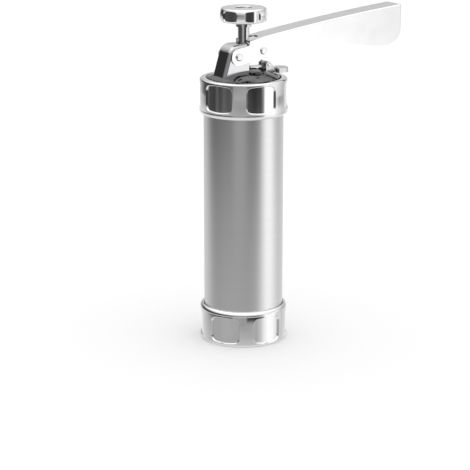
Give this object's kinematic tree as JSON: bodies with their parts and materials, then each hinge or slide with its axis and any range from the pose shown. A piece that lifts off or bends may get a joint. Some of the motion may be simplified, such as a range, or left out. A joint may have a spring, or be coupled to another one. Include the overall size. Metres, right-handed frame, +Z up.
{
  "type": "cookie press",
  "caption": "Hand-operated cookie press: metal barrel with a screw collar at each end, a side lever on a bracket, a ratchet plunger rod with a faceted knob, and a pierced disc.",
  "frame": {"origin": "centre of the lower collar's outlet, on the plane that the press stands on", "axes": "+Z up along the barrel, +X along the lever, -Z out of the dough outlet"},
  "size_m": [0.1576, 0.0608, 0.2326],
  "materials": {
    "barrel": "satin, finely turned round the barrel",
    "collar": "polished",
    "cap": "polished",
    "bracket": "polished",
    "lever": "polished",
    "steel": "polished",
    "pawl": "plated, satin",
    "spring": "drawn wire",
    "disc": "satin",
    "piston": "turned",
    "bush": "turned",
    "rubber": "matt",
    "knob": "polished"
  },
  "bodies": {
    "barrel": {"barrel_tube": "barrel"},
    "head": {"head_cap": "cap", "barrel_gasket": "rubber", "rod_bush": "bush", "lever_bracket": "bracket", "bracket_rivet_left": "steel", "bracket_rivet_right": "steel", "pivot_pin": "steel", "release_stand": "pawl", "release_pin": "steel", "return_spring": "spring", "release_spring": "spring"},
    "top_collar": {"top_collar": "collar"},
    "lever": {"lever": "lever", "pawl_pin": "steel", "return_spring_arm": "spring", "pawl_spring": "spring"},
    "drive_pawl": {"drive_pawl": "pawl", "pawl_spring_arm": "spring"},
    "release_lever": {"release_lever": "pawl"},
    "piston": {"piston": "piston", "piston_seal": "rubber"},
    "rod": {"plunger_rod": "steel", "piston_washer": "steel", "piston_nut": "steel", "knob": "knob", "knob_hub": "steel", "knob_screw": "steel"},
    "disc": {"forming_disc": "disc"},
    "bottom_collar": {"bottom_collar": "collar"}
  },
  "joints": [
    {"name": "head_lift", "type": "slide", "parent": "barrel", "child": "head", "axis": [0, 0, 1], "range_m": [0, 0.00601]},
    {"name": "top_collar_turn", "type": "hinge", "parent": "head", "child": "top_collar", "pos_m": [0, 0, 0.17], "axis": [0, 0, 1], "range_deg": [0, 720]},
    {"name": "disc_drop", "type": "slide", "parent": "barrel", "child": "disc", "axis": [0, 0, -1], "range_m": [0, 0.00601]},
    {"name": "bottom_collar_turn", "type": "hinge", "parent": "disc", "child": "bottom_collar", "pos_m": [0, 0, 0.0124], "axis": [0, 0, -1], "range_deg": [0, 720]},
    {"name": "lever_squeeze", "type": "hinge", "parent": "head", "child": "lever", "pos_m": [-0.0091, 0, 0.2003], "axis": [0, 1, 0], "range_deg": [0, 10.5], "stiffness_Nm_per_rad": 0.3, "springref_deg": -22.92},
    {"name": "pawl_swing", "type": "hinge", "parent": "lever", "child": "drive_pawl", "pos_m": [0.0103, 0, 0.2032], "axis": [0, 1, 0], "range_deg": [-10.6, 0.1]},
    {"name": "release_lift", "type": "hinge", "parent": "head", "child": "release_lever", "pos_m": [0.0174, 0, 0.1923], "axis": [0, -1, 0], "range_deg": [0, 12], "stiffness_Nm_per_rad": 0.02, "springref_deg": -22.92},
    {"name": "plunger_slide", "type": "slide", "parent": "head", "child": "piston", "axis": [0, 0, 1], "range_m": [-0.0075, 0.148]},
    {"name": "knob_turn", "type": "hinge", "parent": "piston", "child": "rod", "pos_m": [0, 0, 0.2], "axis": [0, 0, 1], "continuous": true}
  ],
  "couplings": [
    {"joint": "head_lift", "follows": "top_collar_turn", "m_per_rad": 0.00047746},
    {"joint": "disc_drop", "follows": "bottom_collar_turn", "m_per_rad": 0.00047746},
    {"joint": "pawl_swing", "follows": "lever_squeeze", "ratio": -1}
  ]
}
